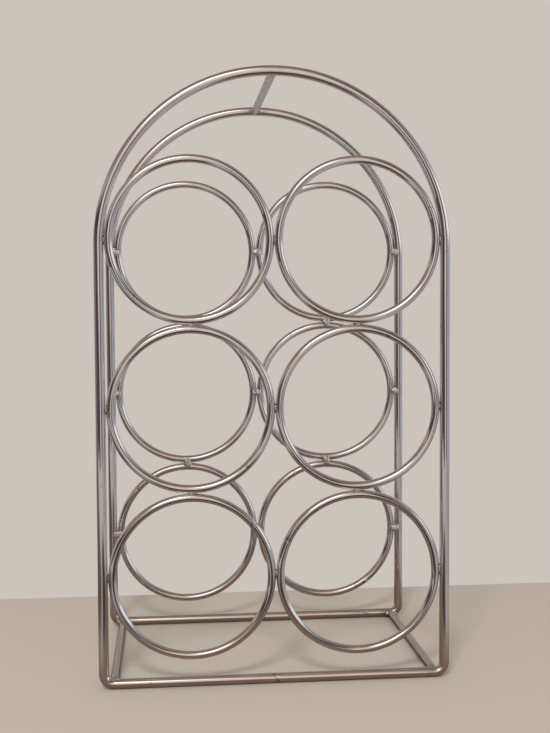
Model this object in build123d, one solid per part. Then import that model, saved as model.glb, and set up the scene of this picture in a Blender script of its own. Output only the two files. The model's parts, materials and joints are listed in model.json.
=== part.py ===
from build123d import *
import os
from math import cos, radians, sin, sqrt

# A six-bottle wine rack of bent and welded steel wire.
#
# Two arched hoops stand one behind the other. Each holds two columns of three
# rings in its own plane, and three crossbars join the hoops. A bottle lies
# through a front ring and the back ring behind it.
#
# Millimetres, +Z up. The origin is the middle of the footprint, on the surface
# that the rack stands on. The front hoop is on the -Y side, and left and right
# are as seen from the front.

# ---- Driving dimensions ----

column_names = ("left", "right")
row_names = ("bottom", "middle", "top")

ring_bore = 90.0             # clear hole for a bottle
ring_wire = 5.0              # wire diameter of the rings
hoop_wire = 6.0              # wire diameter of the two hoops
crossbar_wire = 5.0          # wire diameter of the three crossbars
rack_depth = 140.0           # outside to outside of the two hoops
weld_gap = 0.2               # between two wires that a weld bridges
arch_gap = 0.03              # between a top ring and the arch, where they bear
rail_to_ring = 10.2          # clear space between the bottom rail and the rings
corner_bend_radius = 6.0     # centreline radius of the two bottom corners

ring_bead_width = 6.2        # across the two wires that a bead joins
ring_bead_rise = 1.0         # how far a bead stands proud of the wires' faces
ring_bead_depth = 1.7        # how deep it runs into the groove between them
fillet_throat = 1.4          # how far a crossbar's weld stands out from the bar, at the hoop
fillet_toe = 0.1             # the same, where the weld runs out along the bar
fillet_reach = 2.0           # how far it runs along the bar
fillet_wrap = 1.2            # how far it runs on round the hoop wire
fillet_height = 3.2          # the open joint shows above and below it

# ---- Sizes that follow ----

ring_radius = (ring_bore + ring_wire) / 2
ring_outer = ring_bore / 2 + ring_wire
ring_pitch = 2 * ring_outer + weld_gap

hoop_half_width = len(column_names) * ring_pitch / 2 + weld_gap / 2 + hoop_wire / 2
hoop_y = (rack_depth - hoop_wire) / 2

rail_height = max(hoop_wire, crossbar_wire) / 2
bottom_row_height = rail_height + hoop_wire / 2 + rail_to_ring + ring_outer

column_x = [(i - (len(column_names) - 1) / 2) * ring_pitch for i in range(len(column_names))]
row_z = [bottom_row_height + i * ring_pitch for i in range(len(row_names))]

# The arch is half a circle on the two uprights. It starts a little below the top
# rings' centres, where those rings just bear against it.
arch_to_ring = hoop_half_width - hoop_wire / 2 - ring_outer - arch_gap
shoulder_drop = sqrt(arch_to_ring**2 - column_x[-1]**2)
arch_height = row_z[-1] - shoulder_drop
apex_height = arch_height + hoop_half_width

crossbar_length = 2 * hoop_y - hoop_wire - 2 * weld_gap
bottom_crossbar_x = hoop_half_width - corner_bend_radius

TOWARDS_FRONT = (0, -1, 0)


def wire_run(start, end, wire):
    """A straight run of round wire from one point to another."""
    along = Vector(end) - Vector(start)
    return Solid.make_cylinder(wire / 2, along.length, Plane(origin=start, z_dir=along))


def wire_bend(centre, radius, wire, first_angle, turn):
    """An upright arc of round wire. Angles are anticlockwise from +X, seen from the front."""
    towards_start = (cos(radians(first_angle)), 0, sin(radians(first_angle)))
    plane = Plane(origin=centre, x_dir=towards_start, z_dir=TOWARDS_FRONT)
    return Solid.make_torus(radius, wire / 2, plane, 0, 360, turn)


def make_hoop(y):
    """One closed hoop: bottom rail, two corner bends, two uprights and the arch."""
    bend_x = hoop_half_width - corner_bend_radius
    bend_z = rail_height + corner_bend_radius
    pieces = [
        wire_run((-bend_x, y, rail_height), (bend_x, y, rail_height), hoop_wire),
        wire_bend((bend_x, y, bend_z), corner_bend_radius, hoop_wire, -90, 90),
        wire_bend((-bend_x, y, bend_z), corner_bend_radius, hoop_wire, 180, 90),
        wire_bend((0, y, arch_height), hoop_half_width, hoop_wire, 0, 180),
    ]
    for x in (-hoop_half_width, hoop_half_width):
        pieces.append(wire_run((x, y, bend_z), (x, y, arch_height), hoop_wire))
    return (Part() + pieces).solid()


def make_ring(x, y, z):
    """One bottle ring, closed, in the plane of its hoop."""
    return wire_bend((x, y, z), ring_radius, ring_wire, 0, 360)


def make_crossbar(x, z):
    """One crossbar, cut square, from the front hoop to the back hoop."""
    half = crossbar_length / 2
    return wire_run((x, -half, z), (x, half, z), crossbar_wire)


def ring_bead(x, y, z, face, neighbours):
    """A domed bead over the groove between two wires, on the side that faces the other hoop.

    x and z are the point where the wires touch, and face is how far their inward
    sides stand from the hoop's plane."""
    inward = -1 if y > 0 else 1
    radius = ring_bead_width / 2
    crown_radius = (radius**2 + ring_bead_rise**2) / (2 * ring_bead_rise)
    height = ring_bead_depth + ring_bead_rise
    root = Plane(origin=(x, y + inward * (face - ring_bead_depth), z), z_dir=(0, inward, 0))
    crown_centre = (x, y + inward * (face + ring_bead_rise - crown_radius), z)
    button = Solid.make_cylinder(radius, height, root)
    crown = Solid.make_sphere(crown_radius, Plane(origin=crown_centre, z_dir=(0, inward, 0)))
    bead = (Part() + button) & crown
    return (bead - neighbours).solid()


def make_ring_beads(y, hoop, rings):
    """Every bead of one hoop: ring to ring, and ring to upright or arch.

    The top rings touch the arch a little higher up, but the gap is just as narrow here."""
    beads = []
    last_column = len(column_x) - 1
    hoop_touch = hoop_half_width - (hoop_wire + weld_gap) / 2
    ring_face = ring_wire / 2
    hoop_face = (ring_wire + hoop_wire) / 4
    for row, z in enumerate(row_z):
        for column, x in enumerate(column_x):
            ring = rings[column, row]
            if column < last_column:
                pair = [ring, rings[column + 1, row]]
                beads.append(ring_bead(x + ring_pitch / 2, y, z, ring_face, pair))
            if row + 1 < len(row_z):
                pair = [ring, rings[column, row + 1]]
                beads.append(ring_bead(x, y, z + ring_pitch / 2, ring_face, pair))
        for column, side in ((0, -1), (last_column, 1)):
            pair = [rings[column, row], hoop]
            beads.append(ring_bead(side * hoop_touch, y, z, hoop_face, pair))
    return beads


def make_crossbar_weld(x, z, end, hoop, crossbar):
    """The weld of one end of a crossbar to a hoop. end is -1 at the front.

    It is a fillet on each side of the bar, joined by a web across the bar's end."""
    bar_radius = crossbar_wire / 2
    root = bar_radius + fillet_throat
    hoop_face = hoop_y - hoop_wire / 2
    inward = (0, -end, 0)
    wrap_plane = Plane(origin=(x, end * (hoop_face + fillet_wrap), z), z_dir=inward)
    band = Solid.make_cylinder(root, fillet_wrap, wrap_plane)
    taper_plane = Plane(origin=(x, end * hoop_face, z), z_dir=inward)
    taper = Solid.make_cone(root, bar_radius + fillet_toe, fillet_reach, taper_plane)
    length = 2 * (fillet_reach + fillet_wrap)
    slab = Pos(x, end * hoop_face, z) * Box(2 * root, length, fillet_height)
    weld = (Part() + [band, taper]) & slab
    return (weld - [hoop, crossbar]).solid()


def make_rack():
    """Every node of the rack by name, each a list of solids."""
    nodes = {}
    hoops = {"front": make_hoop(-hoop_y), "back": make_hoop(hoop_y)}
    crossbars = {
        "top_crossbar": (0, apex_height),
        "left_bottom_crossbar": (-bottom_crossbar_x, rail_height),
        "right_bottom_crossbar": (bottom_crossbar_x, rail_height),
    }

    for side, hoop in hoops.items():
        y = -hoop_y if side == "front" else hoop_y
        nodes[f"{side}_hoop"] = [hoop]
        rings = {}
        for row, row_name in enumerate(row_names):
            for column, column_name in enumerate(column_names):
                ring = make_ring(column_x[column], y, row_z[row])
                rings[column, row] = ring
                nodes[f"{side}_ring_{row_name}_{column_name}"] = [ring]
        nodes[f"{side}_ring_welds"] = make_ring_beads(y, hoop, rings)

    crossbar_welds = []
    for name, (x, z) in crossbars.items():
        crossbar = make_crossbar(x, z)
        nodes[name] = [crossbar]
        for side, end in (("front", -1), ("back", 1)):
            crossbar_welds.append(make_crossbar_weld(x, z, end, hoops[side], crossbar))
    nodes["crossbar_welds"] = crossbar_welds
    return nodes


os.makedirs("parts", exist_ok=True)
for name, solids in make_rack().items():
    shape = solids[0] if len(solids) == 1 else Compound(children=solids)
    shape.label = name
    export_step(shape, f"parts/{name}.step")

print(f"overall {2 * hoop_half_width + hoop_wire:.1f} x {rack_depth:.1f} x "
      f"{apex_height + hoop_wire / 2:.1f}, rows at {[round(z, 1) for z in row_z]}")
print(f"arch starts at {arch_height:.2f}, {shoulder_drop:.2f} below the top rings' centres")
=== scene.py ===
import json
from collections import namedtuple
from math import cos, pi, radians, sin, tan

import bpy
from mathutils import Euler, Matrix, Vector

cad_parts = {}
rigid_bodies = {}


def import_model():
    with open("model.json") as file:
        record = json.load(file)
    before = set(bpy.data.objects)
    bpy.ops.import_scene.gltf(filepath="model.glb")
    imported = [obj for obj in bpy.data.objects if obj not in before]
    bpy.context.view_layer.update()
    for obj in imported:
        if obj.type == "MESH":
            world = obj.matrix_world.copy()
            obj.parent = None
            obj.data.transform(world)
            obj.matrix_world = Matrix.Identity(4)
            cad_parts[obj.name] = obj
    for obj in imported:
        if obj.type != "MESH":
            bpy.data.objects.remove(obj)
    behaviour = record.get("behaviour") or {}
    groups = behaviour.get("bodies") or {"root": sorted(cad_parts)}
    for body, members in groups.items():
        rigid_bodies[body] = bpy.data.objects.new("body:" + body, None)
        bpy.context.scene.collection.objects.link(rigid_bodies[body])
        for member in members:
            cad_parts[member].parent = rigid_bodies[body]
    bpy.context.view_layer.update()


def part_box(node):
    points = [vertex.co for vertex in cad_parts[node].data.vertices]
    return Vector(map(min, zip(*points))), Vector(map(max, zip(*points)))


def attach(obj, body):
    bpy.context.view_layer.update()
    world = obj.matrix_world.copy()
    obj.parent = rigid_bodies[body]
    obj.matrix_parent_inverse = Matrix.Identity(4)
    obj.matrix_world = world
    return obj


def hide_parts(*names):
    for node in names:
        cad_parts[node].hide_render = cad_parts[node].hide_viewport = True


bl_info = {
    "name": "Wire Wine Rack",
    "version": (1, 0, 0),
    "blender": (4, 5, 0),
    "location": "3D View > Sidebar > Wine Rack",
    "description": "Builds a chromed wire wine rack around its packed frame",
    "category": "Add Mesh",
}

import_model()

BODY = "root"
SIDES = ("front", "back")
ROWS = ("bottom", "middle", "top")
COLUMNS = ("left", "right")
HOOPS = [f"{side}_hoop" for side in SIDES]
RINGS = [f"{side}_ring_{row}_{column}" for side in SIDES for row in ROWS for column in COLUMNS]
CROSSBARS = ("top_crossbar", "left_bottom_crossbar", "right_bottom_crossbar")

NEARNESS = "weld_nearness"       # on every wire: 1 at a weld, 0 away from one
SEAM = "seam"                    # on every wire: 1 in its closing seam
TURN = "turn"                    # on every weld point: its turn about Y


# ---- Places, read from the frame ----

def inward(side):
    """The Y direction from a hoop towards the other hoop."""
    return 1 if side == "front" else -1


def wire_of(node):
    """The wire diameter of a ring or a hoop, which lies flat in the XZ plane."""
    low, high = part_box(node)
    return high.y - low.y


def ring_places(node):
    """A ring's centre and its outer radius."""
    low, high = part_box(node)
    return (low + high) / 2, (high.x - low.x) / 2


def hoop_places(node):
    """A hoop's Y, its centreline's half width, its rail's height and its arch's starting height."""
    low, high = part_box(node)
    wire = high.y - low.y
    half = (high.x - low.x - wire) / 2
    return (low.y + high.y) / 2, half, low.z + wire / 2, high.z - wire / 2 - half


def crossbar_places(node):
    """The two ends of a crossbar's centreline, front first, and its diameter."""
    low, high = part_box(node)
    middle = (low + high) / 2
    front, back = Vector((middle.x, low.y, middle.z)), Vector((middle.x, high.y, middle.z))
    return front, back, high.x - low.x


def ring_contacts(side):
    """Where the wires of one side touch: a point in the hoop's plane, the turn about Y that
    brings +X across the two wires, and the mean radius of those wires."""
    ring_radius = wire_of(f"{side}_ring_bottom_left") / 2
    hoop_radius = wire_of(f"{side}_hoop") / 2
    contacts = []
    for row, row_name in enumerate(ROWS):
        places = [ring_places(f"{side}_ring_{row_name}_{column}") for column in COLUMNS]
        contacts.append(((places[0][0] + places[1][0]) / 2, 0.0, ring_radius))
        for column, (centre, outer) in zip(COLUMNS, places):
            outermost = centre + Vector((outer if centre.x > 0 else -outer, 0, 0))
            contacts.append((outermost, 0.0, (ring_radius + hoop_radius) / 2))
            if row + 1 < len(ROWS):
                above = ring_places(f"{side}_ring_{ROWS[row + 1]}_{column}")[0]
                contacts.append(((centre + above) / 2, pi / 2, ring_radius))
    return contacts


# ---- Node building ----

def place(tree, kind, sockets=None, **settings):
    """Adds a node. Each socket is set to a value, or linked to an output."""
    node = tree.nodes.new(kind)
    for name, value in settings.items():
        setattr(node, name, value)
    for key, value in (sockets or {}).items():
        if isinstance(value, bpy.types.NodeSocket):
            tree.links.new(value, node.inputs[key])
        else:
            node.inputs[key].default_value = value
    return node


def maths(tree, operation, *values, clamp=False):
    """A Math node's output."""
    node = place(tree, "ShaderNodeMath", dict(enumerate(values)), operation=operation)
    node.use_clamp = clamp
    return node.outputs[0]


def remap(tree, value, low, high, to_low=0.0, to_high=1.0, smooth=True):
    """A Map Range node's output, smooth between its ends."""
    return place(tree, "ShaderNodeMapRange", {
        "Value": value, "From Min": low, "From Max": high, "To Min": to_low, "To Max": to_high,
    }, interpolation_type="SMOOTHSTEP" if smooth else "LINEAR").outputs["Result"]


def blend_colours(tree, factor, first, second):
    """A colour mix of first and second."""
    node = place(tree, "ShaderNodeMix", data_type="RGBA")
    ends = (("Factor_Float", factor), ("A_Color", first), ("B_Color", second))
    for identifier, value in ends:
        socket = next(s for s in node.inputs if s.identifier == identifier)
        if isinstance(value, bpy.types.NodeSocket):
            tree.links.new(value, socket)
        else:
            socket.default_value = value
    return next(s for s in node.outputs if s.identifier == "Result_Color")


def new_tree(name, kind, inputs, outputs):
    """A node group with named sockets. inputs and outputs hold (name, socket type, default)."""
    tree = bpy.data.node_groups.new(name, kind)
    for way, sockets in (("INPUT", inputs), ("OUTPUT", outputs)):
        for socket_name, socket_type, default in sockets:
            socket = tree.interface.new_socket(socket_name, in_out=way, socket_type=socket_type)
            if default is not None:
                socket.default_value = default
    ends = tree.nodes.new("NodeGroupInput"), tree.nodes.new("NodeGroupOutput")
    return tree, ends[0].outputs, ends[1].inputs


def finish_tree(tree, geometry, material, result):
    """Ends a geometry tree: real geometry, smooth, with its material."""
    real = place(tree, "GeometryNodeRealizeInstances", {"Geometry": geometry})
    smooth = place(tree, "GeometryNodeSetShadeSmooth", {"Geometry": real.outputs["Geometry"]})
    coated = place(tree, "GeometryNodeSetMaterial", {
        "Geometry": smooth.outputs["Geometry"], "Material": material})
    tree.links.new(coated.outputs["Geometry"], result["Geometry"])


def grow(name, source, tree, values):
    """Runs a geometry tree on an object and returns a plain mesh object with the result."""
    modifier = source.modifiers.new(tree.name, "NODES")
    modifier.node_group = tree
    for item in tree.interface.items_tree:
        if item.in_out == "INPUT" and item.name in values:
            modifier[item.identifier] = values[item.name]
    source.update_tag()
    bpy.context.view_layer.update()
    evaluated = source.evaluated_get(bpy.context.evaluated_depsgraph_get())
    mesh = bpy.data.meshes.new_from_object(evaluated)
    source.modifiers.remove(modifier)
    mesh.name = name
    grown = bpy.data.objects.new(name, mesh)
    bpy.context.scene.collection.objects.link(grown)
    return grown


def discard(*objects):
    """Removes helper objects and their data."""
    for helper in objects:
        data = helper.data
        bpy.data.objects.remove(helper)
        store = bpy.data.curves if isinstance(data, bpy.types.Curve) else bpy.data.meshes
        store.remove(data)


# ---- Wires ----

BEZIER_STEPS = 64                # along each stretch of a path
SEAM_GRAIN = 900.0               # per metre: how finely a seam is broken up
SEAM_BREAKS = (0.25, 0.60)       # in that grain: where a seam is gone, and where it is whole

# How plainly the closing seams show: the hoops' are rougher, and the crossbars have none.
SEAM_STRENGTHS = {"hoop_chrome": 1.0, "ring_chrome": 0.45, "crossbar_chrome": 0.0}


def add_arc(anchors, centre, radius, first, last):
    """Adds an arc to a list of Bezier anchors, each (place, handle before, handle after).

    Angles are in degrees, anticlockwise from +X as seen from the front."""
    pieces = max(1, round(abs(last - first) / 90))
    step = radians(last - first) / pieces
    reach = radius * 4 / 3 * tan(step / 4)
    for index in range(pieces + 1):
        angle = radians(first) + index * step
        spot = centre + radius * Vector((cos(angle), 0, sin(angle)))
        along = reach * Vector((-sin(angle), 0, cos(angle)))
        before = spot - along if index > 0 else spot
        after = spot + along if index < pieces else spot
        anchors.append((spot, before, after))


def wire_path(name, anchors, closed):
    """A Bezier curve object through the anchors."""
    curve = bpy.data.curves.new(name, "CURVE")
    curve.dimensions = "3D"
    spline = curve.splines.new("BEZIER")
    spline.bezier_points.add(len(anchors) - 1)
    spline.resolution_u = BEZIER_STEPS
    spline.use_cyclic_u = closed
    for point, (spot, before, after) in zip(spline.bezier_points, anchors):
        point.handle_left_type = point.handle_right_type = "FREE"
        point.co, point.handle_left, point.handle_right = spot, before, after
    path = bpy.data.objects.new(name, curve)
    bpy.context.scene.collection.objects.link(path)
    return path


def hoop_path(node, bend):
    """A hoop's centreline, from the closing weld in the middle of its rail."""
    y, half, rail, arch = hoop_places(node)
    start = Vector((0, y, rail))
    anchors = [(start, start, start)]
    add_arc(anchors, Vector((half - bend, y, rail + bend)), bend, -90, 0)
    add_arc(anchors, Vector((0, y, arch)), half, 0, 180)
    add_arc(anchors, Vector((bend - half, y, rail + bend)), bend, 180, 270)
    return wire_path(f"{node}_path", anchors, True)


def ring_path(node, seam_angle):
    """A ring's centreline, from its closing weld at an angle in degrees."""
    centre, outer = ring_places(node)
    anchors = []
    add_arc(anchors, centre, outer - wire_of(node) / 2, seam_angle, seam_angle + 360)
    spot, before, _ = anchors.pop()
    anchors[0] = (spot, before, anchors[0][2])
    return wire_path(f"{node}_path", anchors, True)


def wire_tree():
    """Geometry nodes: a round wire along a curve, with a slanting groove where its ends were
    welded together, and marks for the groove and for how near a weld is."""
    tree, given, result = new_tree("round_wire", "GeometryNodeTree", (
        ("Geometry", "NodeSocketGeometry", None),
        ("Diameter", "NodeSocketFloat", 0.005),
        ("Facet Length", "NodeSocketFloat", 0.001),
        ("Sides", "NodeSocketInt", 32),
        ("Caps", "NodeSocketBool", False),
        ("Seam Depth", "NodeSocketFloat", 0.0002),
        ("Seam Reach", "NodeSocketFloat", 0.0005),
        ("Seam Slant", "NodeSocketFloat", 0.6),
        ("Seam Strength", "NodeSocketFloat", 1.0),
        ("Welds", "NodeSocketObject", None),
        ("Weld Reach", "NodeSocketFloat", 0.01),
        ("Material", "NodeSocketMaterial", None),
    ), (("Geometry", "NodeSocketGeometry", None),))

    path = place(tree, "GeometryNodeResampleCurve", {
        "Curve": given["Geometry"], "Length": given["Facet Length"]}, mode="LENGTH")
    so_far = place(tree, "GeometryNodeSplineParameter").outputs["Length"]
    total = place(tree, "GeometryNodeSplineLength").outputs["Length"]
    past_half = maths(tree, "GREATER_THAN", so_far, maths(tree, "DIVIDE", total, 2.0))
    from_seam = maths(tree, "SUBTRACT", so_far, maths(tree, "MULTIPLY", past_half, total))
    marked = place(tree, "GeometryNodeCaptureAttribute", {"Geometry": path.outputs[0]})
    marked.capture_items.new("FLOAT", "From Seam")
    marked.capture_items.new("VECTOR", "Centre")
    position = place(tree, "GeometryNodeInputPosition").outputs["Position"]
    tree.links.new(from_seam, marked.inputs["From Seam"])
    tree.links.new(position, marked.inputs["Centre"])

    outline = place(tree, "GeometryNodeCurvePrimitiveCircle", {
        "Resolution": given["Sides"], "Radius": maths(tree, "DIVIDE", given["Diameter"], 2.0)},
        mode="RADIUS")
    tube = place(tree, "GeometryNodeCurveToMesh", {
        "Curve": marked.outputs["Geometry"], "Profile Curve": outline.outputs["Curve"],
        "Fill Caps": given["Caps"]})

    aside = place(tree, "ShaderNodeVectorMath", {
        0: position, 1: marked.outputs["Centre"]}, operation="SUBTRACT")
    height = place(tree, "ShaderNodeSeparateXYZ", {0: aside.outputs["Vector"]}).outputs["Z"]
    slanted = maths(tree, "ADD", marked.outputs["From Seam"],
                    maths(tree, "MULTIPLY", height, given["Seam Slant"]))
    share = maths(tree, "DIVIDE", slanted, given["Seam Reach"])
    squared = maths(tree, "MULTIPLY", share, share)
    seam = maths(tree, "EXPONENT", maths(tree, "MULTIPLY", squared, -1.0))
    uneven = place(tree, "ShaderNodeTexNoise", {"Scale": SEAM_GRAIN, "Detail": 2.0}).outputs[0]
    seam = maths(tree, "MULTIPLY", seam, remap(tree, uneven, *SEAM_BREAKS))
    seam = maths(tree, "MULTIPLY", seam, given["Seam Strength"])
    offset = place(tree, "ShaderNodeVectorMath", {
        0: place(tree, "GeometryNodeInputNormal").outputs["Normal"],
        "Scale": maths(tree, "MULTIPLY", maths(tree, "MULTIPLY", seam, given["Seam Depth"]), -1.0)},
        operation="SCALE")
    seam_marked = place(tree, "GeometryNodeStoreNamedAttribute", {
        "Geometry": tube.outputs["Mesh"], "Name": SEAM, "Value": seam},
        data_type="FLOAT", domain="POINT")
    grooved = place(tree, "GeometryNodeSetPosition", {
        "Geometry": seam_marked.outputs["Geometry"], "Offset": offset.outputs["Vector"]})

    welds = place(tree, "GeometryNodeObjectInfo", {"Object": given["Welds"]})
    distance = place(tree, "GeometryNodeProximity", {
        "Geometry": welds.outputs["Geometry"]}, target_element="POINTS").outputs["Distance"]
    nearness = remap(tree, distance, 0.0, given["Weld Reach"], 1.0, 0.0)
    kept = place(tree, "GeometryNodeStoreNamedAttribute", {
        "Geometry": grooved.outputs["Geometry"], "Name": NEARNESS, "Value": nearness},
        data_type="FLOAT", domain="POINT")
    finish_tree(tree, kept.outputs["Geometry"], given["Material"], result)
    return tree


def wire_values(settings, diameter, welds, slot):
    """The wire tree's inputs for one wire."""
    return {
        "Diameter": diameter, "Facet Length": settings.facet_length, "Sides": settings.sides,
        "Seam Depth": settings.seam_depth, "Seam Reach": settings.seam_reach,
        "Seam Slant": settings.seam_slant, "Seam Strength": SEAM_STRENGTHS[slot],
        "Welds": welds, "Weld Reach": settings.weld_reach, "Material": finish_of(slot),
    }


def seam_angle(index):
    """Where a ring's closing weld sits, in degrees: well away from the contacts, and
    different from ring to ring."""
    first, spread, margin, used = 37.0, 137.5, 22.0, 0.5
    angle = first + index * spread
    quarter = angle // 90 * 90
    return quarter + margin + (angle - quarter) * used


# ---- Welds ----

BEAD_SEED, FILLET_SEED, SPATTER_SEED = 11, 21, 5
WELD_SIZE_SEED, DROPLET_SIZE_SEED = 7, 5   # added to those for the random sizes
BEAD_WAIST = 0.16                # how much narrower a bead is midway between its wires
BEAD_LUMPS, FILLET_LUMPS = 620.0, 700.0    # per metre
BEAD_DETAIL, FILLET_DETAIL = 5, 4          # subdivisions of a weld's ball
FILLET_LUMP_SHARE = 0.6          # of the beads' lump height
FILLET_SPREAD = 0.0003           # from a crossbar's side to a fillet's middle
FILLET_LIFT = -0.0002            # from a crossbar's end: negative is into the hoop
WELD_WOBBLE = 0.25               # radians either way
WELD_SWELL = (0.86, 1.12)        # smallest and largest weld, against the set size
DROPLET_SWELL = (0.45, 1.0)      # smallest and largest droplet, against the set size


def points_object(name, contacts):
    """A mesh of loose points, one for each (place, turn about Y)."""
    mesh = bpy.data.meshes.new(name)
    mesh.from_pydata([spot for spot, _ in contacts], [], [])
    turns = mesh.attributes.new(TURN, "FLOAT", "POINT")
    turns.data.foreach_set("value", [turn for _, turn in contacts])
    points = bpy.data.objects.new(name, mesh)
    bpy.context.scene.collection.objects.link(points)
    return points


def ring_weld_points(side, lift=0.0):
    """The ring welds of one side. lift is how far above the wires' inner faces they stand."""
    contacts = []
    for spot, turn, radius in ring_contacts(side):
        raised = spot + Vector((0, inward(side) * (radius + lift), 0))
        contacts.append((raised, turn))
    return points_object(f"{side}_ring_weld_points", contacts)


def crossbar_weld_points(spread=0.0, lift=0.0):
    """Two points at each end of each crossbar, one on each side of it."""
    contacts = []
    for node in CROSSBARS:
        front, back, diameter = crossbar_places(node)
        for end, way in ((front, 1), (back, -1)):
            for side in (-1, 1):
                out = Vector((side * (diameter / 2 + spread), way * lift, 0))
                contacts.append((end + out, 0.0))
    return points_object("crossbar_weld_points", contacts)


def all_weld_points():
    """Every weld of the rack in one object."""
    parts = [ring_weld_points(side) for side in SIDES] + [crossbar_weld_points()]
    spots = [(vertex.co.copy(), 0.0) for part in parts for vertex in part.data.vertices]
    discard(*parts)
    return points_object("all_weld_points", spots)


def bead_tree():
    """Geometry nodes: a lump of weld metal on each point, waisted between its two wires."""
    tree, given, result = new_tree("weld_bead", "GeometryNodeTree", (
        ("Geometry", "NodeSocketGeometry", None),
        ("Size", "NodeSocketVector", (0.005, 0.002, 0.004)),
        ("Waist", "NodeSocketFloat", 0.3),
        ("Lump Height", "NodeSocketFloat", 0.0004),
        ("Lumps Per Metre", "NodeSocketFloat", 500.0),
        ("Detail", "NodeSocketInt", 5),
        ("Seed", "NodeSocketInt", 1),
        ("Material", "NodeSocketMaterial", None),
    ), (("Geometry", "NodeSocketGeometry", None),))

    ball = place(tree, "GeometryNodeMeshIcoSphere", {
        "Radius": 0.5, "Subdivisions": given["Detail"]})
    spot = place(tree, "ShaderNodeSeparateXYZ", {
        0: place(tree, "GeometryNodeInputPosition").outputs["Position"]})
    across = maths(tree, "POWER", maths(tree, "MULTIPLY", spot.outputs["X"], 2.0), 2.0)
    narrow = maths(tree, "SUBTRACT", 1.0, maths(tree, "MULTIPLY", given["Waist"],
                   maths(tree, "SUBTRACT", 1.0, across)))
    waisted = place(tree, "ShaderNodeCombineXYZ", {
        "X": spot.outputs["X"], "Y": spot.outputs["Y"],
        "Z": maths(tree, "MULTIPLY", spot.outputs["Z"], narrow)})
    knot = place(tree, "GeometryNodeSetPosition", {
        "Geometry": ball.outputs["Mesh"], "Position": waisted.outputs["Vector"]})

    turn = place(tree, "GeometryNodeInputNamedAttribute", {"Name": TURN}, data_type="FLOAT")
    wobble = place(tree, "FunctionNodeRandomValue", {
        "Seed": given["Seed"]}, data_type="FLOAT")
    set_range(wobble, -WELD_WOBBLE, WELD_WOBBLE)
    angles = place(tree, "ShaderNodeCombineXYZ", {
        "Y": maths(tree, "ADD", turn.outputs["Attribute"], random_value(wobble))})
    swell = place(tree, "FunctionNodeRandomValue", {
        "Seed": maths(tree, "ADD", given["Seed"], WELD_SIZE_SEED)}, data_type="FLOAT")
    set_range(swell, *WELD_SWELL)
    size = place(tree, "ShaderNodeVectorMath", {
        0: given["Size"], "Scale": random_value(swell)}, operation="SCALE")
    placed = place(tree, "GeometryNodeInstanceOnPoints", {
        "Points": given["Geometry"], "Instance": knot.outputs["Geometry"],
        "Rotation": place(tree, "FunctionNodeEulerToRotation", {
            0: angles.outputs["Vector"]}).outputs["Rotation"],
        "Scale": size.outputs["Vector"]})
    real = place(tree, "GeometryNodeRealizeInstances", {"Geometry": placed.outputs["Instances"]})

    lumps = place(tree, "ShaderNodeTexNoise", {
        "W": given["Seed"], "Scale": given["Lumps Per Metre"], "Detail": 4.0,
        "Roughness": 0.62}, noise_dimensions="4D").outputs[0]
    height = maths(tree, "MULTIPLY", maths(tree, "SUBTRACT", lumps, 0.5),
                   maths(tree, "MULTIPLY", given["Lump Height"], 2.0))
    offset = place(tree, "ShaderNodeVectorMath", {
        0: place(tree, "GeometryNodeInputNormal").outputs["Normal"], "Scale": height},
        operation="SCALE")
    rough = place(tree, "GeometryNodeSetPosition", {
        "Geometry": real.outputs["Geometry"], "Offset": offset.outputs["Vector"]})
    finish_tree(tree, rough.outputs["Geometry"], given["Material"], result)
    return tree


def set_range(node, low, high):
    """Sets the float range of a Random Value node."""
    floats = [s for s in node.inputs if s.type == "VALUE" and s.name in ("Min", "Max")]
    floats[0].default_value, floats[1].default_value = low, high


def random_value(node):
    """The float output of a Random Value node."""
    return next(s for s in node.outputs if s.type == "VALUE")


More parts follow.
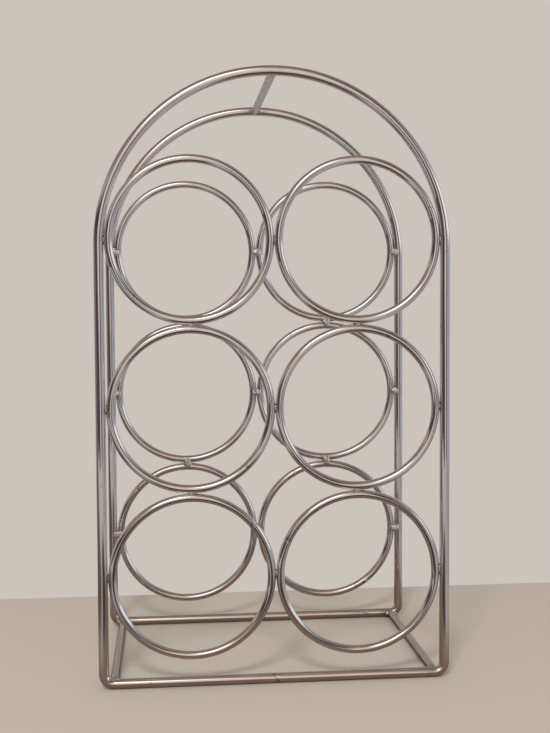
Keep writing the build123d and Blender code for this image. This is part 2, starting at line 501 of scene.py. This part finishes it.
def spatter_tree():
    """Geometry nodes: small droplets scattered over the wires round each weld."""
    tree, given, result = new_tree("weld_spatter", "GeometryNodeTree", (
        ("Geometry", "NodeSocketGeometry", None),
        ("Wires", "NodeSocketCollection", None),
        ("Count", "NodeSocketInt", 5),
        ("Reach", "NodeSocketFloat", 0.01),
        ("Size", "NodeSocketFloat", 0.0004),
        ("Seed", "NodeSocketInt", 3),
        ("Material", "NodeSocketMaterial", None),
    ), (("Geometry", "NodeSocketGeometry", None),))

    copies = place(tree, "GeometryNodeDuplicateElements", {
        "Geometry": given["Geometry"], "Amount": given["Count"]}, domain="POINT")
    throw = place(tree, "FunctionNodeRandomValue", {"Seed": given["Seed"]},
                  data_type="FLOAT_VECTOR")
    throw.inputs["Min"].default_value = (-1, 0, -1)
    throw.inputs["Max"].default_value = (1, 1, 1)
    place_y = place(tree, "ShaderNodeSeparateXYZ", {
        0: place(tree, "GeometryNodeInputPosition").outputs["Position"]}).outputs["Y"]
    inwards = place(tree, "ShaderNodeCombineXYZ", {
        "X": 1.0, "Y": maths(tree, "MULTIPLY", maths(tree, "SIGN", place_y), -1.0), "Z": 1.0})
    aimed = place(tree, "ShaderNodeVectorMath", {
        0: throw.outputs["Value"], 1: inwards.outputs["Vector"]}, operation="MULTIPLY")
    offset = place(tree, "ShaderNodeVectorMath", {
        0: aimed.outputs["Vector"], "Scale": given["Reach"]}, operation="SCALE")
    thrown = place(tree, "GeometryNodeSetPosition", {
        "Geometry": copies.outputs["Geometry"], "Offset": offset.outputs["Vector"]})
    wires = place(tree, "GeometryNodeCollectionInfo", {"Collection": given["Wires"]})
    surface = place(tree, "GeometryNodeRealizeInstances", {
        "Geometry": wires.outputs["Instances"]})
    nearest = place(tree, "GeometryNodeProximity", {
        "Geometry": surface.outputs["Geometry"]}, target_element="FACES")
    landed = place(tree, "GeometryNodeSetPosition", {
        "Geometry": thrown.outputs["Geometry"], "Position": nearest.outputs["Position"]})
    drop = place(tree, "GeometryNodeMeshIcoSphere", {"Radius": given["Size"], "Subdivisions": 2})
    swell = place(tree, "FunctionNodeRandomValue", {
        "Seed": maths(tree, "ADD", given["Seed"], DROPLET_SIZE_SEED)}, data_type="FLOAT")
    set_range(swell, *DROPLET_SWELL)
    placed = place(tree, "GeometryNodeInstanceOnPoints", {
        "Points": landed.outputs["Geometry"], "Instance": drop.outputs["Mesh"],
        "Scale": random_value(swell)})
    finish_tree(tree, placed.outputs["Instances"], given["Material"], result)
    return tree


# ---- Finishes ----

# The marks in the plating. Scales are per metre. A range is where a mark begins and where it is
# full, and a strength is how far it goes into the colour, the roughness or the relief.
CLOUD_SCALE, STAIN_SCALE, GRAIN_SCALE = 70.0, 420.0, 1600.0
HAZE_RANGE = (0.40, 0.75)        # in the clouds
STAIN_RANGE = (0.35, 0.62)       # in the stains round a weld
PIT_RADII = (0.05, 0.16)         # smallest and largest, in cells
DULL_STRENGTH = {"colour": 0.80, "roughness": 0.30, "relief": 0.08}
PIT_STRENGTH = {"colour": 0.85, "roughness": 0.35, "relief": 0.20}
GRAIN_STRENGTH = {"roughness": 0.04, "relief": 0.02}
CLOUD_RELIEF = 0.5

# One finish for each record slot: which colour setting it takes, its roughness where it is
# cleanest, how much the haze adds, the share of cells with a pit, and the relief in metres.
Plating = namedtuple("Plating", "colour roughness haze pit_share relief")
PLATINGS = {
    "hoop_chrome": Plating("plate_colour", 0.025, 0.07, 0.07, 0.00005),
    "ring_chrome": Plating("plate_colour", 0.025, 0.07, 0.10, 0.00005),
    "crossbar_chrome": Plating("bar_colour", 0.20, 0.12, 0.16, 0.00006),
    "weld_chrome": Plating("bead_colour", 0.10, 0.14, 0.50, 0.0006),
}


def plated_surface():
    """Shader group: chrome plate with haze, pits and dull plating near the welds."""
    name = "plated_surface"
    if name in bpy.data.node_groups:
        return bpy.data.node_groups[name]
    tree, given, result = new_tree(name, "ShaderNodeTree", (
        ("Plate Colour", "NodeSocketColor", (0.8, 0.8, 0.8, 1)),
        ("Mark Colour", "NodeSocketColor", (0.1, 0.07, 0.05, 1)),
        ("Weld Colour", "NodeSocketColor", (0.4, 0.35, 0.3, 1)),
        ("Least Roughness", "NodeSocketFloat", 0.05),
        ("Haze", "NodeSocketFloat", 0.1),
        ("Pits Per Metre", "NodeSocketFloat", 260.0),
        ("Pit Share", "NodeSocketFloat", 0.1),
        ("Weld Nearness", "NodeSocketFloat", 0.0),
        ("Seam", "NodeSocketFloat", 0.0),
    ), (
        ("Colour", "NodeSocketColor", None),
        ("Roughness", "NodeSocketFloat", None),
        ("Height", "NodeSocketFloat", None),
    ))
    spot = place(tree, "ShaderNodeTexCoord").outputs["Object"]
    cells = place(tree, "ShaderNodeTexVoronoi", {
        "Vector": spot, "Scale": given["Pits Per Metre"]})
    chosen = place(tree, "ShaderNodeSeparateColor", {0: cells.outputs["Color"]})
    has_pit = maths(tree, "LESS_THAN", chosen.outputs[0], given["Pit Share"])
    pit_size = remap(tree, chosen.outputs[1], 0.0, 1.0, *PIT_RADII)
    pit_floor = maths(tree, "MULTIPLY", pit_size, 0.5)
    hollow = remap(tree, cells.outputs["Distance"], pit_floor, pit_size, 1.0, 0.0)
    pit = maths(tree, "MULTIPLY", has_pit, hollow)

    cloud = place(tree, "ShaderNodeTexNoise", {
        "Vector": spot, "Scale": CLOUD_SCALE, "Detail": 3.0}).outputs[0]
    grain = place(tree, "ShaderNodeTexNoise", {
        "Vector": spot, "Scale": GRAIN_SCALE, "Detail": 2.0}).outputs[0]
    stain = place(tree, "ShaderNodeTexNoise", {
        "Vector": spot, "Scale": STAIN_SCALE, "Detail": 4.0, "Roughness": 0.65}).outputs[0]
    dull = maths(tree, "MULTIPLY", given["Weld Nearness"], remap(tree, stain, *STAIN_RANGE))

    def strength(mark, table, target):
        return maths(tree, "MULTIPLY", mark, table[target])

    plate = blend_colours(tree, strength(dull, DULL_STRENGTH, "colour"),
                          given["Plate Colour"], given["Weld Colour"])
    mark = maths(tree, "MAXIMUM", pit, given["Seam"])
    marked = blend_colours(tree, strength(mark, PIT_STRENGTH, "colour"),
                           plate, given["Mark Colour"])
    tree.links.new(marked, result["Colour"])

    haze = maths(tree, "MULTIPLY", remap(tree, cloud, *HAZE_RANGE), given["Haze"])
    rough = maths(tree, "ADD", given["Least Roughness"], haze)
    rough = maths(tree, "ADD", rough, strength(grain, GRAIN_STRENGTH, "roughness"))
    rough = maths(tree, "ADD", rough, strength(dull, DULL_STRENGTH, "roughness"))
    rough = maths(tree, "ADD", rough, strength(pit, PIT_STRENGTH, "roughness"), clamp=True)
    tree.links.new(rough, result["Roughness"])

    relief = maths(tree, "MULTIPLY", cloud, CLOUD_RELIEF)
    relief = maths(tree, "ADD", relief, strength(grain, GRAIN_STRENGTH, "relief"))
    relief = maths(tree, "ADD", relief, strength(dull, DULL_STRENGTH, "relief"))
    relief = maths(tree, "SUBTRACT", relief, strength(pit, PIT_STRENGTH, "relief"))
    tree.links.new(relief, result["Height"])
    return tree


def plate_material(name, plating):
    """A plated metal with its own values in the shared surface."""
    finish = bpy.context.scene.rack_finish
    material = bpy.data.materials.new(name)
    material.use_nodes = True
    tree = material.node_tree
    shader = tree.nodes["Principled BSDF"]
    shader.inputs["Metallic"].default_value = 1.0
    nearness = place(tree, "ShaderNodeAttribute", attribute_name=NEARNESS)
    surface = place(tree, "ShaderNodeGroup", node_tree=plated_surface())
    values = {
        "Plate Colour": (*getattr(finish, plating.colour), 1),
        "Mark Colour": (*finish.mark_colour, 1), "Weld Colour": (*finish.weld_colour, 1),
        "Least Roughness": plating.roughness, "Haze": plating.haze,
        "Pits Per Metre": finish.pits_per_metre, "Pit Share": plating.pit_share,
    }
    for key, value in values.items():
        surface.inputs[key].default_value = value
    tree.links.new(nearness.outputs["Fac"], surface.inputs["Weld Nearness"])
    seam = place(tree, "ShaderNodeAttribute", attribute_name=SEAM)
    tree.links.new(seam.outputs["Fac"], surface.inputs["Seam"])
    bump = place(tree, "ShaderNodeBump", {
        "Strength": 1.0, "Distance": plating.relief, "Height": surface.outputs["Height"]})
    tree.links.new(surface.outputs["Colour"], shader.inputs["Base Color"])
    tree.links.new(surface.outputs["Roughness"], shader.inputs["Roughness"])
    tree.links.new(bump.outputs["Normal"], shader.inputs["Normal"])
    return material


def finish_of(slot):
    """The material of a record slot, made once."""
    name = f"plated_{slot}"
    if name in bpy.data.materials:
        return bpy.data.materials[name]
    return plate_material(name, PLATINGS[slot])


def hand_over(piece, slot, *nodes):
    """Gives a finished piece to the frame, in place of the nodes it stands for."""
    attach(piece, BODY)
    if nodes:
        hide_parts(*nodes)


# ---- Settings ----

class WireSettings(bpy.types.PropertyGroup):
    """Sizes of the wires that the frame's boxes don't give."""
    corner_bend: bpy.props.FloatProperty(
        name="Corner Bend", description="Centreline radius of the bottom corners",
        default=0.006, min=0.004, unit="LENGTH")
    facet_length: bpy.props.FloatProperty(
        name="Facet Length", description="Length of one facet along a wire",
        default=0.001, min=0.0003, unit="LENGTH")
    sides: bpy.props.IntProperty(
        name="Sides", description="Facets round a wire", default=32, min=8, max=64)
    seam_depth: bpy.props.FloatProperty(
        name="Seam Depth", description="Depth of the groove at a closing weld",
        default=0.00025, min=0.0, precision=5, unit="LENGTH")
    seam_reach: bpy.props.FloatProperty(
        name="Seam Reach", description="Half the width of that groove",
        default=0.0006, min=0.0001, precision=4, unit="LENGTH")
    seam_slant: bpy.props.FloatProperty(
        name="Seam Slant", description="Run of the groove along the wire for each unit of height",
        default=0.6)
    weld_reach: bpy.props.FloatProperty(
        name="Dull Reach", description="How far the dull plating runs from a weld",
        default=0.009, min=0.001, unit="LENGTH")


class WeldSettings(bpy.types.PropertyGroup):
    """Sizes of the weld metal."""
    bead_size: bpy.props.FloatVectorProperty(
        name="Bead Size", description="Across the wires, off their faces, and along them",
        default=(0.0076, 0.0046, 0.0070), size=3, precision=4, unit="LENGTH")
    bead_sink: bpy.props.FloatProperty(
        name="Bead Sink", description="How deep a bead's centre lies under the wires' faces",
        default=0.0010, precision=4, unit="LENGTH")
    fillet_size: bpy.props.FloatVectorProperty(
        name="Fillet Size", description="Out from a crossbar, along it, and upwards",
        default=(0.0030, 0.0034, 0.0034), size=3, precision=4, unit="LENGTH")
    lump_height: bpy.props.FloatProperty(
        name="Lump Height", description="Relief of the rough weld metal",
        default=0.0009, precision=4, unit="LENGTH")
    spatter_count: bpy.props.IntProperty(
        name="Spatter Count", description="Droplets round each weld", default=2, min=0, max=20)
    spatter_reach: bpy.props.FloatProperty(
        name="Spatter Reach", description="How far droplets land from a weld",
        default=0.009, unit="LENGTH")
    spatter_size: bpy.props.FloatProperty(
        name="Spatter Size", description="Radius of the largest droplet",
        default=0.00024, precision=5, unit="LENGTH")


class FinishSettings(bpy.types.PropertyGroup):
    """Colours and marks of the plating."""
    plate_colour: bpy.props.FloatVectorProperty(
        name="Chrome", description="Bright plate on the bent wires",
        default=(0.86, 0.845, 0.845), subtype="COLOR", min=0, max=1)
    bar_colour: bpy.props.FloatVectorProperty(
        name="Crossbar Chrome", description="Duller plate on the crossbars",
        default=(0.60, 0.585, 0.565), subtype="COLOR", min=0, max=1)
    bead_colour: bpy.props.FloatVectorProperty(
        name="Weld Metal", description="Plated weld metal",
        default=(0.95, 0.92, 0.89), subtype="COLOR", min=0, max=1)
    weld_colour: bpy.props.FloatVectorProperty(
        name="Dull Plate", description="Plating that the heat of a weld has dulled",
        default=(0.42, 0.36, 0.32), subtype="COLOR", min=0, max=1)
    mark_colour: bpy.props.FloatVectorProperty(
        name="Pits", description="Pits and specks in the plating",
        default=(0.09, 0.065, 0.05), subtype="COLOR", min=0, max=1)
    pits_per_metre: bpy.props.FloatProperty(
        name="Pits Per Metre", description="How closely pits may stand", default=330.0, min=1.0)


class StageSettings(bpy.types.PropertyGroup):
    """The floor, the light and the camera."""
    floor_colour: bpy.props.FloatVectorProperty(
        name="Floor", description="Pale floor", default=(0.58, 0.51, 0.44),
        subtype="COLOR", min=0, max=1)
    wall_colour: bpy.props.FloatVectorProperty(
        name="Background", description="Pale background", default=(0.60, 0.552, 0.505),
        subtype="COLOR", min=0, max=1)
    floor_edges: bpy.props.FloatVectorProperty(
        name="Floor Edges", description="Left, front, right and back edges of the floor",
        default=(-1.0, -0.95, 1.0, 0.15), size=4, unit="LENGTH")
    lamp_azimuth: bpy.props.FloatProperty(
        name="Lamp Azimuth", description="Degrees from the front towards the right",
        default=-15.0)
    lamp_elevation: bpy.props.FloatProperty(
        name="Lamp Elevation", description="Degrees above the floor", default=38.0)
    lamp_distance: bpy.props.FloatProperty(
        name="Lamp Distance", description="Distance of the lamp", default=1.7, unit="LENGTH")
    lamp_size: bpy.props.FloatProperty(
        name="Lamp Size", description="Width of the lamp", default=0.34, unit="LENGTH")
    lamp_glare: bpy.props.FloatVectorProperty(
        name="Lamp Glare", description="The lamp as the chrome shows it",
        default=(2.1, 2.06, 2.01), size=3, min=0)
    lamp_power: bpy.props.FloatProperty(
        name="Lamp Power", description="Power of the lamp in watts", default=14.0, min=0.0)
    camera_place: bpy.props.FloatVectorProperty(
        name="Camera Place", description="Where the camera stands",
        default=(-0.0652, -0.7187, 0.2246), size=3, precision=4, unit="LENGTH")
    camera_turn: bpy.props.FloatVectorProperty(
        name="Camera Turn", description="The camera's rotation",
        default=(radians(87.10), radians(0.32), radians(-5.73)), size=3, unit="ROTATION")
    lens: bpy.props.FloatProperty(
        name="Lens", description="Focal length in millimetres, on a 36 mm wide sensor",
        default=54.02, min=10.0)


# ---- Operators ----

class RackStage(bpy.types.Operator):
    """Add the floor, the light and the camera"""
    bl_idname = "rack.stage"
    bl_label = "Stage"

    def execute(self, context):
        settings = context.scene.rack_stage
        make_floor(settings)
        make_room(settings)
        make_lamp(settings)
        make_camera(settings)
        context.scene.view_settings.view_transform = "Standard"
        return {"FINISHED"}


class RackHoops(bpy.types.Operator):
    """Bend the two hoops, each with a closing weld in the middle of its rail"""
    bl_idname = "rack.hoops"
    bl_label = "Hoops"

    def execute(self, context):
        settings = context.scene.rack_wires
        tree, welds = wire_tree(), all_weld_points()
        for node in HOOPS:
            path = hoop_path(node, settings.corner_bend)
            values = wire_values(settings, wire_of(node), welds, "hoop_chrome")
            hand_over(grow(f"{node}_wire", path, tree, values), "hoop_chrome", node)
            discard(path)
        discard(welds)
        return {"FINISHED"}


class RackRings(bpy.types.Operator):
    """Bend the bottle rings, each with a closing weld of its own"""
    bl_idname = "rack.rings"
    bl_label = "Rings"

    def execute(self, context):
        settings = context.scene.rack_wires
        tree, welds = wire_tree(), all_weld_points()
        for index, node in enumerate(RINGS):
            path = ring_path(node, seam_angle(index))
            values = wire_values(settings, wire_of(node), welds, "ring_chrome")
            hand_over(grow(f"{node}_wire", path, tree, values), "ring_chrome", node)
            discard(path)
        discard(welds)
        return {"FINISHED"}


class RackCrossbars(bpy.types.Operator):
    """Cut the crossbars square, from one hoop to the other"""
    bl_idname = "rack.crossbars"
    bl_label = "Crossbars"

    def execute(self, context):
        settings = context.scene.rack_wires
        tree, welds = wire_tree(), all_weld_points()
        for node in CROSSBARS:
            front, back, diameter = crossbar_places(node)
            path = wire_path(f"{node}_path", [(front, front, front), (back, back, back)], False)
            values = wire_values(settings, diameter, welds, "crossbar_chrome")
            values["Caps"] = True
            hand_over(grow(f"{node}_wire", path, tree, values), "crossbar_chrome", node)
            discard(path)
        discard(welds)
        return {"FINISHED"}


class RackRingWelds(bpy.types.Operator):
    """Lay a rough bead on every contact between rings and hoops"""
    bl_idname = "rack.ring_welds"
    bl_label = "Ring Welds"

    def execute(self, context):
        settings = context.scene.rack_welds
        tree = bead_tree()
        for index, side in enumerate(SIDES):
            points = ring_weld_points(side, lift=-settings.bead_sink)
            values = {
                "Size": settings.bead_size, "Waist": BEAD_WAIST,
                "Lump Height": settings.lump_height, "Lumps Per Metre": BEAD_LUMPS,
                "Detail": BEAD_DETAIL, "Seed": BEAD_SEED + index,
                "Material": finish_of("weld_chrome"),
            }
            beads = grow(f"{side}_ring_weld_beads", points, tree, values)
            hand_over(beads, "weld_chrome", f"{side}_ring_welds")
            discard(points)
        return {"FINISHED"}


class RackCrossbarWelds(bpy.types.Operator):
    """Lay a fillet on both sides of every crossbar end"""
    bl_idname = "rack.crossbar_welds"
    bl_label = "Crossbar Welds"

    def execute(self, context):
        settings = context.scene.rack_welds
        points = crossbar_weld_points(FILLET_SPREAD, FILLET_LIFT)
        values = {
            "Size": settings.fillet_size, "Waist": 0.0,
            "Lump Height": settings.lump_height * FILLET_LUMP_SHARE,
            "Lumps Per Metre": FILLET_LUMPS, "Detail": FILLET_DETAIL, "Seed": FILLET_SEED,
            "Material": finish_of("weld_chrome"),
        }
        fillets = grow("crossbar_weld_fillets", points, bead_tree(), values)
        hand_over(fillets, "weld_chrome", "crossbar_welds")
        discard(points)
        return {"FINISHED"}


class RackSpatter(bpy.types.Operator):
    """Scatter droplets of weld metal over the wires round the welds"""
    bl_idname = "rack.spatter"
    bl_label = "Weld Spatter"

    def execute(self, context):
        settings = context.scene.rack_welds
        wires = bpy.data.collections.new("rack_wires")
        for node in (*HOOPS, *RINGS):
            wires.objects.link(bpy.data.objects[f"{node}_wire"])
        points = all_weld_points()
        values = {
            "Wires": wires, "Count": settings.spatter_count, "Reach": settings.spatter_reach,
            "Size": settings.spatter_size, "Seed": SPATTER_SEED,
            "Material": finish_of("weld_chrome"),
        }
        spatter = grow("weld_spatter", points, spatter_tree(), values)
        hand_over(spatter, "weld_chrome")
        discard(points)
        bpy.data.collections.remove(wires)
        return {"FINISHED"}


# ---- Stage ----

FLOOR_ROUGHNESS, FLOOR_SPECULAR = 0.75, 0.2

# The floor as the chrome shows it: brown round the rack, in shade before it, pale further out
# and dark on the left. A shade's edges are where it begins, is full, starts to fade and ends.
FLOOR_NEAR = (0.21, 0.14, 0.10, 1)
FLOOR_IN_SHADE = (0.05, 0.035, 0.028, 1)
FLOOR_FAR = (0.38, 0.365, 0.36, 1)
FLOOR_ASIDE = (0.11, 0.085, 0.07, 1)
NEAR_TO_FAR = (0.13, 0.26)                     # from the rack's middle
SHADE_X = (-0.16, -0.09, 0.10, 0.18)
SHADE_Y = (-0.58, -0.42, -0.20, -0.12)
ASIDE_X, ASIDE_Y = (-0.26, -0.14), (-0.45, -0.25)


def make_floor(settings):
    """A plain pale floor, which the chrome shows darker and browner."""
    left, front, right, back = settings.floor_edges
    mesh = bpy.data.meshes.new("floor")
    corners = [(left, front, 0), (right, front, 0), (right, back, 0), (left, back, 0)]
    mesh.from_pydata(corners, [], [(0, 1, 2, 3)])
    floor = bpy.data.objects.new("floor", mesh)
    bpy.context.scene.collection.objects.link(floor)
    material = bpy.data.materials.new("floor")
    material.use_nodes = True
    tree = material.node_tree
    shader = tree.nodes["Principled BSDF"]
    shader.inputs["Roughness"].default_value = FLOOR_ROUGHNESS
    shader.inputs["Specular IOR Level"].default_value = FLOOR_SPECULAR
    spot = place(tree, "ShaderNodeTexCoord").outputs["Object"]
    away = place(tree, "ShaderNodeVectorMath", {0: spot}, operation="LENGTH").outputs["Value"]
    x, y, _ = place(tree, "ShaderNodeSeparateXYZ", {0: spot}).outputs
    reflected = blend_colours(tree, remap(tree, away, *NEAR_TO_FAR), FLOOR_NEAR, FLOOR_FAR)
    shaded = maths(tree, "MULTIPLY", band(tree, y, SHADE_Y), band(tree, x, SHADE_X))
    reflected = blend_colours(tree, shaded, reflected, FLOOR_IN_SHADE)
    aside = maths(tree, "MULTIPLY", remap(tree, x, *ASIDE_X, 1.0, 0.0),
                  remap(tree, y, *ASIDE_Y))
    reflected = blend_colours(tree, aside, reflected, FLOOR_ASIDE)
    seen = place(tree, "ShaderNodeLightPath").outputs["Is Glossy Ray"]
    colour = blend_colours(tree, seen, (*settings.floor_colour, 1), reflected)
    tree.links.new(colour, shader.inputs["Base Color"])
    mesh.materials.append(material)


def direction_angles(tree):
    """Azimuth, from the front towards +X, and elevation of a world direction, in degrees."""
    way = place(tree, "ShaderNodeSeparateXYZ", {
        0: place(tree, "ShaderNodeTexCoord").outputs["Generated"]})
    towards_front = maths(tree, "MULTIPLY", way.outputs["Y"], -1.0)
    azimuth = maths(tree, "ARCTAN2", way.outputs["X"], towards_front)
    elevation = maths(tree, "ARCSINE", way.outputs["Z"])
    return [maths(tree, "DEGREES", angle) for angle in (azimuth, elevation)]


def band(tree, value, edges):
    """A smooth mask: 0 up to the first edge, 1 between the middle two, 0 past the last."""
    start, full, fade, end = edges
    rise = remap(tree, value, start, full)
    return maths(tree, "MULTIPLY", rise, remap(tree, value, fade, end, 1.0, 0.0))


# What the chrome reflects. Each patch of the room has its azimuths, its elevations and its
# colour, and lies over the ones before it.
ROOM_BY_ELEVATION = (
    (-90, (0.12, 0.09, 0.075)), (-32, (0.16, 0.125, 0.105)), (-16, (0.66, 0.55, 0.48)),
    (18, (0.74, 0.62, 0.54)), (36, (0.56, 0.44, 0.37)), (54, (0.34, 0.25, 0.21)),
    (75, (0.25, 0.185, 0.155)), (90, (0.23, 0.17, 0.14)),
)
ROOM_PATCHES = (
    ((-160, -120, -34, -14), (18, 32, 60, 85), (0.22, 0.165, 0.14)),       # upper left
    ((-140, -110, -30, -12), (-45, -28, 12, 30), (0.055, 0.045, 0.045)),   # dark on the left
    ((-70, -36, -9, 0), (-30, -18, -4, 4), (0.07, 0.055, 0.052)),          # and nearly ahead
    ((-130, -104, -78, -62), (-14, -6, 3, 12), (0.17, 0.16, 0.175)),       # less dark between
    ((12, 40, 125, 145), (-45, -30, 30, 40), (0.34, 0.355, 0.40)),         # cool on the right
    ((14, 30, 76, 100), (26, 36, 60, 85), (0.16, 0.135, 0.118)),           # brown over it
    ((12, 18, 30, 40), (-38, -24, 30, 44), (0.06, 0.055, 0.06)),           # a dark post
    ((46, 58, 106, 118), (2, 8, 20, 28), (0.90, 0.90, 0.92)),              # the window
)
WALL_BEHIND = (0.40, 0.365, 0.34, 1)
ABOVE_BEHIND = (0.19, 0.145, 0.122, 1)
WALL_TO_ABOVE = (22.0, 45.0)     # elevations
WALL_SIDES = (112.0, 140.0)      # azimuths either way, where the room gives way to the wall
WALL_TOP = (88.0, 74.0)          # elevations, where the wall begins below the zenith
GLARE_EDGE, GLARE_CORE = 18, 6   # degrees from the lamp's direction
FILL_LIGHT = (0.62, 0.60, 0.58, 1)
LAMP_AIM = Vector((0, 0, 0.17))
SENSOR_WIDTH = 36.0              # millimetres


def make_room(settings):
    """Soft even light. In the chrome it looks like a room: warm ahead, cool on the right,
    dark on the left, brown overhead and with a pale wall behind."""
    world = bpy.data.worlds.new("studio")
    world.use_nodes = True
    bpy.context.scene.world = world
    tree = world.node_tree
    azimuth, elevation = direction_angles(tree)

    heights = place(tree, "ShaderNodeValToRGB", {
        0: remap(tree, elevation, -90.0, 90.0, smooth=False)})
    fill_ramp(heights.color_ramp, [((e + 90) / 180, c) for e, c in ROOM_BY_ELEVATION])
    room = heights.outputs["Color"]
    for across, up, colour in ROOM_PATCHES:
        mask = maths(tree, "MULTIPLY", band(tree, azimuth, across), band(tree, elevation, up))
        room = blend_colours(tree, mask, room, (*colour, 1))
    wall = blend_colours(tree, remap(tree, elevation, *WALL_TO_ABOVE), WALL_BEHIND, ABOVE_BEHIND)
    behind = maths(tree, "MULTIPLY", remap(tree, maths(tree, "ABSOLUTE", azimuth), *WALL_SIDES),
                   remap(tree, elevation, *WALL_TOP))
    room = blend_colours(tree, behind, room, wall)

    lamp_way = direction(settings.lamp_azimuth, settings.lamp_elevation)
    towards = place(tree, "ShaderNodeVectorMath", {
        0: place(tree, "ShaderNodeTexCoord").outputs["Generated"], 1: lamp_way},
        operation="DOT_PRODUCT").outputs["Value"]
    lamp = remap(tree, towards, cos(radians(GLARE_EDGE)), cos(radians(GLARE_CORE)))
    room = blend_colours(tree, lamp, room, (*settings.lamp_glare, 1))

    path = place(tree, "ShaderNodeLightPath")
    colour = blend_colours(tree, path.outputs["Is Glossy Ray"], FILL_LIGHT, room)
    colour = blend_colours(tree, path.outputs["Is Camera Ray"], colour,
                           (*settings.wall_colour, 1))
    tree.links.new(colour, tree.nodes["Background"].inputs["Color"])


def fill_ramp(ramp, stops):
    """Sets the stops of a colour ramp, given as (position, colour)."""
    while len(ramp.elements) < len(stops):
        ramp.elements.new(1.0)
    for element, (position, colour) in zip(ramp.elements, stops):
        element.position, element.color = position, (*colour, 1)


def direction(azimuth, elevation):
    """A unit vector. Azimuth is from the front towards +X."""
    across, up = radians(azimuth), radians(elevation)
    return Vector((sin(across) * cos(up), -cos(across) * cos(up), sin(up)))


def make_lamp(settings):
    """A soft lamp above the front. The chrome shows the room's lamp instead of this one."""
    light = bpy.data.lights.new("lamp", "AREA")
    light.shape, light.size, light.energy = "DISK", settings.lamp_size, settings.lamp_power
    lamp = bpy.data.objects.new("lamp", light)
    way = direction(settings.lamp_azimuth, settings.lamp_elevation)
    lamp.location = LAMP_AIM + way * settings.lamp_distance
    lamp.rotation_euler = way.to_track_quat("Z", "Y").to_euler()
    lamp.visible_glossy = False
    bpy.context.scene.collection.objects.link(lamp)


def make_camera(settings):
    """A camera in front of the rack, a little to the left and above its middle."""
    lens = bpy.data.cameras.new("camera")
    lens.sensor_width, lens.lens = SENSOR_WIDTH, settings.lens
    camera = bpy.data.objects.new("camera", lens)
    camera.location = settings.camera_place
    camera.rotation_euler = Euler(settings.camera_turn)
    bpy.context.scene.collection.objects.link(camera)
    bpy.context.scene.camera = camera


# ---- Add-on ----

STEPS = (RackStage, RackHoops, RackRings, RackCrossbars, RackRingWelds, RackCrossbarWelds,
         RackSpatter)
SETTINGS = {"rack_wires": WireSettings, "rack_welds": WeldSettings,
            "rack_finish": FinishSettings, "rack_stage": StageSettings}


class RackPanel(bpy.types.Panel):
    """The rack's operators and settings in the sidebar"""
    bl_idname = "VIEW3D_PT_wine_rack"
    bl_label = "Wine Rack"
    bl_space_type = "VIEW_3D"
    bl_region_type = "UI"
    bl_category = "Wine Rack"

    def draw(self, context):
        for step in STEPS:
            self.layout.operator(step.bl_idname)
        for name, group in SETTINGS.items():
            box = self.layout.box()
            for key in group.__annotations__:
                box.prop(getattr(context.scene, name), key)


def register():
    """Registers the classes and puts the settings on the scene."""
    for kind in (*SETTINGS.values(), *STEPS, RackPanel):
        bpy.utils.register_class(kind)
    for name, group in SETTINGS.items():
        setattr(bpy.types.Scene, name, bpy.props.PointerProperty(type=group))


def unregister():
    """Takes the settings and the classes away again."""
    for name in SETTINGS:
        delattr(bpy.types.Scene, name)
    for kind in (RackPanel, *reversed(STEPS), *SETTINGS.values()):
        bpy.utils.unregister_class(kind)


def main():
    """Builds the whole rack."""
    register()
    for step in STEPS:
        area, name = step.bl_idname.split(".")
        getattr(getattr(bpy.ops, area), name)()


if __name__ == "__main__":
    main()
